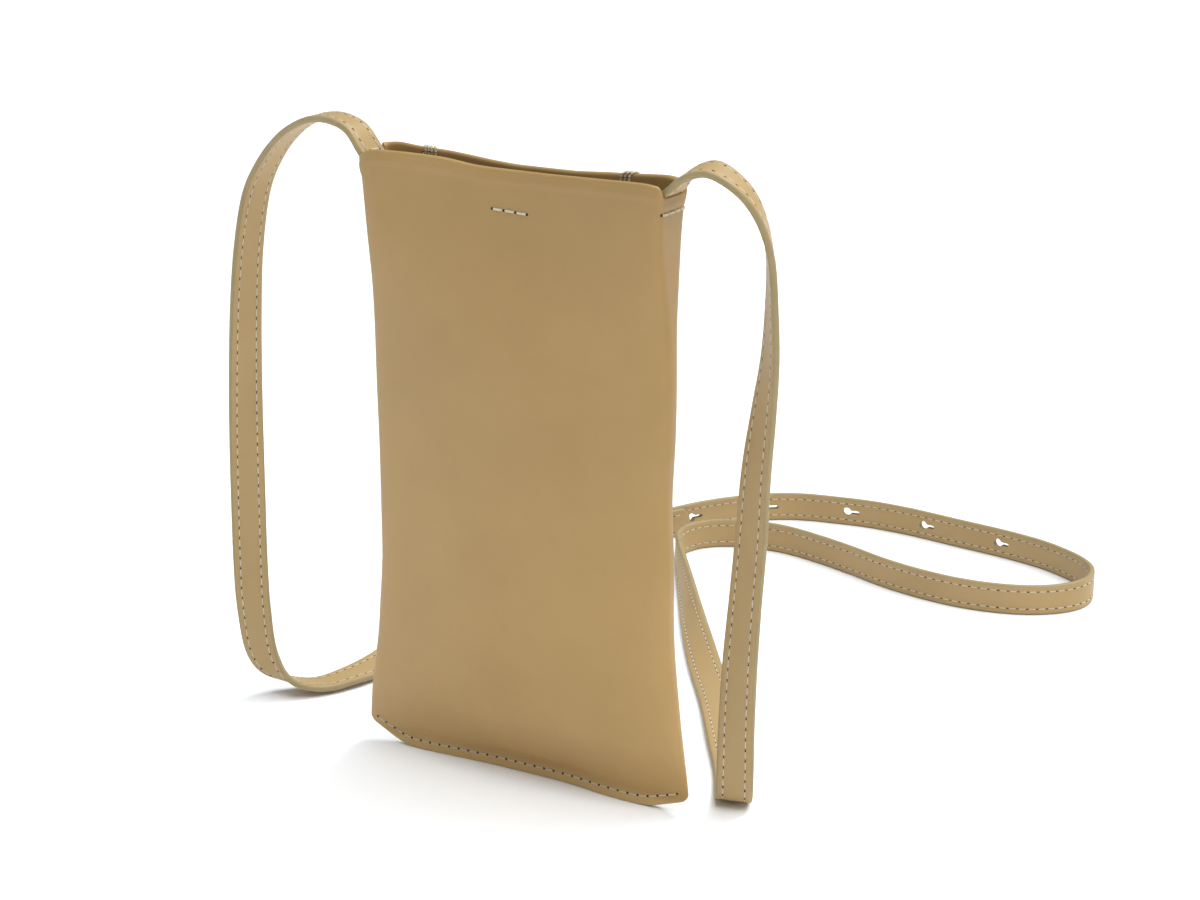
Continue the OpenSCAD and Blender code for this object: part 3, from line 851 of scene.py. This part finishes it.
def run_row(rows, spots, radius, gap, lift=0.04 * MM, hole=1.5):
    """Stitches from each spot to the next. A spot is a point and its normal."""
    for (a, normal_a), (b, normal_b) in zip(spots, spots[1:]):
        step = (b - a).normalized() * gap
        rows.stitch(a + step, b - step, normal_a, normal_b, radius, lift)
    places = [place for place, _ in spots]
    for i, (place, normal) in enumerate(spots):
        rows.hole(place, normal, tangent_at(places, i), radius * hole)


def part_way(path, i, t):
    """The point and normal at a share of the way from one place of a path to the next."""
    (a, normal_a), (b, normal_b) = path[i], path[i + 1]
    return a.lerp(b, t), normal_a.lerp(normal_b, t).normalized()


def even_spots(path, count):
    """Places of a path of points and normals at even distances along it."""
    along = [0.0]
    for (a, _), (b, _) in zip(path, path[1:]):
        along.append(along[-1] + (b - a).length)
    spots = []
    i = 0
    for k in range(count + 1):
        target = along[-1] * k / count
        while i < len(path) - 2 and along[i + 1] < target:
            i += 1
        spots.append(part_way(path, i, (target - along[i]) / (along[i + 1] - along[i])))
    return spots


def along_path(path, share):
    spot = share * (len(path) - 1)
    i = min(int(spot), len(path) - 2)
    return part_way(path, i, spot - i)


def run_path(rows, path, count, radius, gap, lift, hole):
    """Stitches that follow a path of points and normals round a bend, and the holes between them."""
    length = sum((b - a).length for (a, _), (b, _) in zip(path, path[1:]))
    path = even_spots(path, PATH_STEPS)
    for k in range(count):
        first, last = k / count + gap / length, (k + 1) / count - gap / length
        points, normals, sizes = [], [], []
        for step in range(STITCH_STEPS + 1):
            share = step / STITCH_STEPS
            place, normal = along_path(path, first + (last - first) * share)
            end = min(share, 1 - share)
            height = THREAD_DIP + (1 - THREAD_DIP) * ease(end / 0.2)
            points.append(place + normal * (lift + radius * THREAD_RISE * height))
            normals.append(normal)
            sizes.append(radius * (0.6 + 0.4 * ease(end / 0.12)))
        rows.tube(points, sizes, normals)
    for k in range(count + 1):
        place, normal = along_path(path, k / count)
        before, after = along_path(path, max(0, k / count - 0.02)), along_path(path, min(1, k / count + 0.02))
        rows.hole(place, normal, after[0] - before[0], radius * hole)


SEAM_REACH = 55.4 * MM
SEAM_RISE = 3.1 * MM
SEAM_STITCHES = 32


def seam_stitches():
    """The row through both leathers along the bottom, on the front and on the back."""
    rows = Stitches()
    for back in (False, True):
        path = []
        for k in range(PATH_STEPS + 1):
            x = SEAM_REACH * (2 * k / PATH_STEPS - 1)
            z = bottom_z(x / (POUCH_W / 2)) + SEAM_RISE
            path.append(surface(angle_at(x, z, back), z))
        run_path(rows, path, SEAM_STITCHES, 0.2 * MM, 0.42 * MM, 0.05 * MM, 2.2)
    return rows.build("thread_seam")


# Places of the tacks: three stitches across the middle, and four round each side fold at one height
TACK_X = -4.8 * MM
TACK_RUN = 12.1 * MM
TACK_Z = 183 * MM
TACK_FALL = 0.6 * MM
SIDE_TACK_Z = 186.5 * MM
RIGHT_TACK_X = 51.7 * MM
LEFT_TACK_Y = -6 * MM
SIDE_TACK_END_Y = 7.4 * MM


def tack_stitches():
    """Three stitches in the middle of the front and of the back, and four across each side fold."""
    rows = Stitches()
    for back in (False, True):
        spots = []
        for k in range(4):
            x, z = TACK_X + TACK_RUN * k / 3, TACK_Z - TACK_FALL * k / 3
            spots.append(surface(angle_at(x, z, back), z))
        run_row(rows, spots, 0.36 * MM, 0.42 * MM, 0.08 * MM, 1.25)
    z = SIDE_TACK_Z
    for first, last in ((angle_at(RIGHT_TACK_X, z), side_angle(SIDE_TACK_END_Y, z, True)),
                        (side_angle(LEFT_TACK_Y, z, False), side_angle(SIDE_TACK_END_Y, z, False))):
        path = [surface(first + (last - first) * k / PATH_STEPS, z) for k in range(PATH_STEPS + 1)]
        run_path(rows, path, 4, 0.4 * MM, 0.4 * MM, 0.16 * MM, 1.2)
    return rows.build("thread_tacks")


# Rim wraps: how far down their holes lie, and places in millimetres of them and the tacks beside them
WRAP_DROP = 3.8 * MM
WRAPS = (-38.3, -37.2, -36.0, -34.6, 33.2, 34.5, 36.0)
PALE_WRAP = 36.0
WRAP_TACKS = (-39.6, 35.2)
WRAP_TACK_DROPS = (1.7, 4.3)


def wrap_loop(rows, inner_x, top_x, outer_x, radius):
    """A thread loop over the turned rim of the back, from a hole inside to a hole outside."""
    stand = radius * 0.75
    roll = HEM_T / 2
    path = [(inner_x + (top_x - inner_x) * k / 8 * 0.8, "in", k / 8) for k in range(8)]
    path += [(top_x + (k - 4) / 4 * 0.2 * (outer_x - inner_x), "over", k / 8) for k in range(9)]
    path += [(top_x + (outer_x - top_x) * (0.2 + 0.8 * k / 8), "out", k / 8) for k in range(1, 9)]
    points, normals = [], []
    for x, part, t in path:
        angle = angle_at(x * MM, POUCH_H, True)
        high = rim_height(angle)
        foot = high - WRAP_DROP
        if part == "in":
            dip = 0.5 * MM * max(0, 1 - 4 * t)
            z, inset = foot + (high - roll - foot) * t, HEM_T + stand - dip
        elif part == "over":
            turn = pi * (1 - t)
            z, inset = high - roll + (roll + stand) * sin(turn), roll - (roll + stand) * cos(turn)
        else:
            dip = 0.5 * MM * max(0, 4 * t - 3)
            z, inset = high - roll - (high - roll - foot) * t, -stand + dip
        point = outside_point(angle, z, inset)
        away = outside_point(angle, z, inset - 0.5 * MM) - point
        if part == "over":
            away = away.normalized() * cos(turn) * -1 + Vector((0, 0, 1)) * sin(turn)
        elif part == "in":
            away = -away
        points.append(point)
        normals.append(away.normalized())
    rows.tube(points, [radius] * len(points), normals, 0.85)
    for i in (0, -1):
        rows.hole(points[i] - normals[i] * 0.1 * MM, normals[i], Vector((1, 0, 0)), radius * 1.5)


def wrap_stitches():
    """Thread wrapped over the rim of the back at both top corners of the card pocket."""
    rows = Stitches()
    for x in WRAPS:
        rows.tone = 0 if x == PALE_WRAP else 2
        wrap_loop(rows, x - 0.4, x, x + 0.3, 0.42 * MM)
    rows.tone = 0
    for x in WRAP_TACKS:
        spots = []
        for drop in WRAP_TACK_DROPS:
            angle = angle_at(x * MM, POUCH_H, True)
            z = rim_height(angle) - drop * MM
            point = outside_point(angle, z, HEM_T)
            spots.append((point, (point - outside_point(angle, z, HEM_T - 0.5 * MM)).normalized()))
        run_row(rows, spots, 0.3 * MM, 0.1 * MM, 0.06 * MM, 1.3)
    return rows.build("thread_wraps")


# Card pocket and magnet covers

POCKET_TOP = POUCH_H - POCKET_DROP
POCKET_COLUMNS = 64
POCKET_ROWS = 84
POCKET_SOFT_EDGE = 0.22 * MM
POCKET_STITCH_INSET = 2.5 * MM
COVER_SIDES = 96
COVER_STITCHES = 20
COVER_STITCH_INSET = 1.3 * MM


def pocket_point(x, z, depth):
    """A point of the pocket sheet, which hangs inside the back and steps over its turned edge."""
    share = abs(x) / half_width(z)
    back = facing_share(share, z)
    hem_low = rim_height(angle_at(x, POUCH_H, True)) - HEM_H
    inset = POCKET_GAP + mix(LEATHER_T, HEM_T, (z - hem_low + 3 * MM) / (2.4 * MM)) + depth
    outside = Vector((x, half_depth(share, z) * back, z))
    return Vector((x, (half_depth(share, z) - inset) * back + undulation(outside), z))


def make_pocket():
    columns, rows = POCKET_COLUMNS, POCKET_ROWS
    vertices = []
    for depth, rim_depth in ((0, POCKET_SOFT_EDGE), (POCKET_T, POCKET_T - POCKET_SOFT_EDGE)):
        for r in range(rows + 1):
            for c in range(columns + 1):
                x, z = POCKET_W * (c / columns - 0.5), POCKET_TOP - POCKET_H * r / rows
                rim = c in (0, columns) or r in (0, rows)
                vertices.append(pocket_point(x, z, rim_depth if rim else depth))
    width = columns + 1
    second = (rows + 1) * width
    faces, slots = [], []
    for a in [r * width + c for r in range(rows) for c in range(columns)]:
        b = second + a
        faces += [(a, a + 1, a + width + 1, a + width), (b, b + width, b + width + 1, b + 1)]
        slots += [0, 0]
    rim = list(range(width)) + [r * width + columns for r in range(1, rows + 1)] \
        + [rows * width + c for c in reversed(range(columns))] + [r * width for r in reversed(range(1, rows))]
    for a, b in zip(rim, rim[1:] + rim[:1]):
        faces.append((a, second + a, second + b, b))
        slots.append(1)
    return mesh_object("pocket_sheet", vertices, faces, [INSIDE, EDGE], slots, 40)


def pocket_stitches():
    """A row along the sides and the foot of the pocket."""
    rows = Stitches()
    x, high = POCKET_W / 2 - POCKET_STITCH_INSET, POCKET_TOP - POCKET_STITCH_INSET
    low = POCKET_TOP - POCKET_H + POCKET_STITCH_INSET
    corners = [(-x, high), (-x, low), (x, low), (x, high)]
    for (x0, z0), (x1, z1) in zip(corners, corners[1:]):
        path = []
        for share in [k / 60 for k in range(61)]:
            x, z = x0 + (x1 - x0) * share, z0 + (z1 - z0) * share
            point = pocket_point(x, z, POCKET_T)
            path.append((point, (pocket_point(x, z, POCKET_T + 0.5 * MM) - point).normalized()))
        length = hypot(x1 - x0, z1 - z0)
        run_row(rows, even_spots(path, round(length / STITCH_PITCH)), 0.23 * MM, 0.34 * MM)
    return rows.build("thread_pocket")


def make_cover(name, back):
    """A leather cover moulded over a magnet, and its stitches."""
    z = POUCH_H - MAGNET_DROP
    low, high = half_depth(0, z - COVER_H / 2), half_depth(0, z + COVER_H / 2)
    lean = atan((low - high) / COVER_H)
    seat = LEATHER_T + 2 * SEAT_GAP + (POCKET_GAP + POCKET_T if back else 0)
    flip = -1 if back else 1
    origin = Vector((0, flip * (seat - half_depth(0, z)), z))
    across = Vector((flip, 0, 0))
    up = Vector((0, flip * sin(lean), cos(lean)))
    inward = Vector((0, flip * cos(lean), -sin(lean)))
    deep = MAGNET_T + SEAT_GAP + COVER_T
    corner_x, corner_y = COVER_W / 2 - COVER_FILLET, COVER_H / 2 - COVER_FILLET
    sides = COVER_SIDES

    def outline(k, inset):
        turn = 2 * pi * (k + 0.5) / sides
        c, s = cos(turn), sin(turn)
        return (copysign(corner_x, c) + (COVER_FILLET - inset) * c,
                copysign(corner_y, s) + (COVER_FILLET - inset) * s)

    def circle(k, radius):
        x, y = outline(k, 0)
        turn = atan2(y, x)
        return radius * cos(turn), radius * sin(turn)

    bore = MAGNET_D / 2 + SEAT_GAP
    rings = [(circle, 0.4 * MM, MAGNET_T + SEAT_GAP), (circle, bore, MAGNET_T + SEAT_GAP), (circle, bore, 0),
             (outline, 0.25 * MM, 0), (outline, 0, 0.15 * MM), (outline, 0, 0.5 * MM), (outline, 0.12 * MM, 0.7 * MM),
             (outline, 0.35 * MM, 0.8 * MM), (outline, 1.6 * MM, 0.82 * MM), (circle, bore + 1.15 * MM, 0.95 * MM),
             (circle, bore + 0.75 * MM, 1.3 * MM), (circle, bore + 0.45 * MM, 1.9 * MM),
             (circle, bore + 0.05 * MM, 2.32 * MM), (circle, bore - 0.6 * MM, deep - 0.05 * MM),
             (circle, bore - 2 * MM, deep), (circle, 0.4 * MM, deep)]
    vertices = []
    for shape, size, height in rings:
        for k in range(sides):
            x, y = shape(k, size)
            vertices.append(origin + across * x + up * y + inward * height)
    last = (len(rings) - 1) * sides
    faces = [tuple(reversed(range(sides)))]
    slots = [0]
    for r in range(len(rings) - 1):
        faces += band(r * sides, (r + 1) * sides, sides)
        slots += [int(r in (4, 5))] * sides
    faces.append(tuple(range(last, last + sides)))
    slots.append(0)
    cover = mesh_object(name, vertices, faces, [INSIDE, EDGE], slots, 50)
    path = []
    for k in range(sides + 1):
        x, y = outline(k % sides, COVER_STITCH_INSET)
        path.append((origin + across * x + up * y + inward * 0.8 * MM, inward))
    rows = Stitches()
    run_row(rows, even_spots(path, COVER_STITCHES), 0.18 * MM, 0.25 * MM, 0.03 * MM)
    return cover, rows.build(f"thread_{name}")


# Rows on the straps: where they start, how far from the tip they end, their holes and the closing stitch
SHORT_ROWS_FROM = 20.4 * MM
LONG_ROWS_FROM = 14 * MM
ROWS_END = 4.5 * MM
ROW_HOLE = 0.52 * MM
CLOSING_ACROSS = (-1.6 * MM, 3.2 * MM)


def strap_stitches(name, route, side, start, closed):
    """Both rows on one face of a strap, with a stitch across their start if closed. side is 1 or -1."""
    end = route.length - ROWS_END
    rows = Stitches()
    count = round((end - start) / STITCH_PITCH)
    offset = STRAP_W / 2 - STITCH_INSET
    lift = STRAP_T / 2 - 0.10 * MM
    for across_side in (-1, 1):
        spots = []
        for k in range(count + 1):
            centre, tangent, across, face = route.place(start + (end - start) * k / count)
            spots.append((centre + across * offset * across_side + face * lift * side, tangent, face * side))
        for (a, tangent, normal_a), (b, _, normal_b) in zip(spots, spots[1:]):
            gap = (b - a) * 0.15
            rows.stitch(a + gap, b - gap, normal_a, normal_b, 0.2 * MM, 0.02 * MM)
            rows.hole(a, normal_a, tangent, ROW_HOLE)
    if closed:
        centre, _, width, face = route.place(start - 0.3 * MM)
        ends = [(centre + width * across + face * STRAP_T / 2, face) for across in CLOSING_ACROSS]
        run_row(rows, ends, 0.3 * MM, 0.1 * MM, 0.08 * MM)
    return rows.build(name)


# Floor and light

FLOOR_HALF = 30.0
FLOOR_COLOUR = (0.94, 0.935, 0.935, 1)
WORLD_COLOUR = (0.9, 0.955, 1, 1)
WORLD_STRENGTH = 0.3
SUN_COLOUR = (0.93, 0.965, 1)


def make_floor():
    corners = [(x * FLOOR_HALF, y * FLOOR_HALF, 0) for x, y in ((-1, -1), (1, -1), (1, 1), (-1, 1))]
    paper = Shader("floor", Roughness=0.75, Base_Color=FLOOR_COLOUR).material
    floor = mesh_object("floor", corners, [(0, 1, 2, 3)], [paper])


def add_light(name, kind, aim, energy, colour):
    lamp = bpy.data.objects.new(name, bpy.data.lights.new(name, kind))
    lamp.data.energy, lamp.data.color = energy, colour
    lamp.rotation_euler = aim.to_track_quat("-Z", "Y").to_euler()
    bpy.context.collection.objects.link(lamp)
    return lamp


def area_light(name, place, target, size, power_w, colour):
    lamp = add_light(name, "AREA", Vector(target) - Vector(place), power_w, colour)
    lamp.location = place
    lamp.data.shape = "RECTANGLE"
    lamp.data.size, lamp.data.size_y = size


def sun_light(name, direction, spread, strength):
    add_light(name, "SUN", Vector(direction), strength, SUN_COLOUR).data.angle = radians(spread)


def make_light():
    world = bpy.data.worlds.new("studio")
    bpy.context.scene.world = world
    world.use_nodes = True
    background = world.node_tree.nodes["Background"].inputs
    background["Color"].default_value = WORLD_COLOUR
    background["Strength"].default_value = WORLD_STRENGTH
    sun_light("key", (-0.25, -0.02, -1), 64, 3.3)
    sun_light("rear", (-0.2, -0.8, -1), 20, 1.1)
    area_light("right", (1.3, -0.1, 0.7), (0, 0, 0.1), (1.0, 1.0), 3.9, (1, 0.95, 0.76))
    area_light("left", (-1.4, -0.25, 0.5), (0, 0, 0.1), (0.8, 0.8), 3.4, (0.76, 0.87, 1))
    area_light("front", (-0.5, -1.6, 0.15), (0, 0, 0.07), (1.4, 0.5), 1.1, (0.9, 0.95, 1))


make_camera()

short_route = Route(SHORT_ROUTE, SHORT_SETTLE)
long_route = Route(LONG_ROUTE, LONG_SETTLE)
short_strap = make_strap("strap_short", short_route, SHORT_STEPS)
long_strap = make_strap("strap_long", long_route, LONG_STEPS)
cut_holes(short_strap, short_route, [(STUD_FROM_SHORT_TIP, round_outline(STUD_HOLE_D))])
cut_holes(long_strap, long_route,
          [(STUD_FROM_LONG_TIP + k * KEYHOLE_PITCH, keyhole_outline()) for k in range(KEYHOLES)])

body = make_body()
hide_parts("front_panel", "back_panel")
pocket = make_pocket()
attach(pocket, "back")
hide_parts("card_pocket")
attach(pocket_stitches(), "back")
for word in ("front", "back"):
    cover, cover_rows = make_cover(f"magnet_cover_{word}", word == "back")
    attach(cover, word)
    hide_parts(f"{word}_magnet_cover")
    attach(cover_rows, word)
for piece in (body, seam_stitches(), tack_stitches(), wrap_stitches()):
    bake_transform(piece)

strap_rows = []
for name, route, start in (("short", short_route, SHORT_ROWS_FROM), ("long", long_route, LONG_ROWS_FROM)):
    for side, word in ((1, "face"), (-1, "back")):
        closed = name == "short" and side == 1
        strap_rows.append(strap_stitches(f"thread_{name}_{word}", route, side, start, closed))

for strap, node in ((short_strap, "short_strap"), (long_strap, "long_strap")):
    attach(strap, "back")
    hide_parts(node)
for rows in strap_rows:
    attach(rows, "back")

nodes = {o.name: o for o in bpy.data.objects}
for node, metal in (("button_stud", BRASS), ("stud_screw", BRASS), ("front_magnet", NICKEL), ("back_magnet", NICKEL)):
    nodes[node].data.materials.clear()
    nodes[node].data.materials.append(metal)

make_floor()
make_light()
bpy.context.scene.view_settings.view_transform = "Standard"
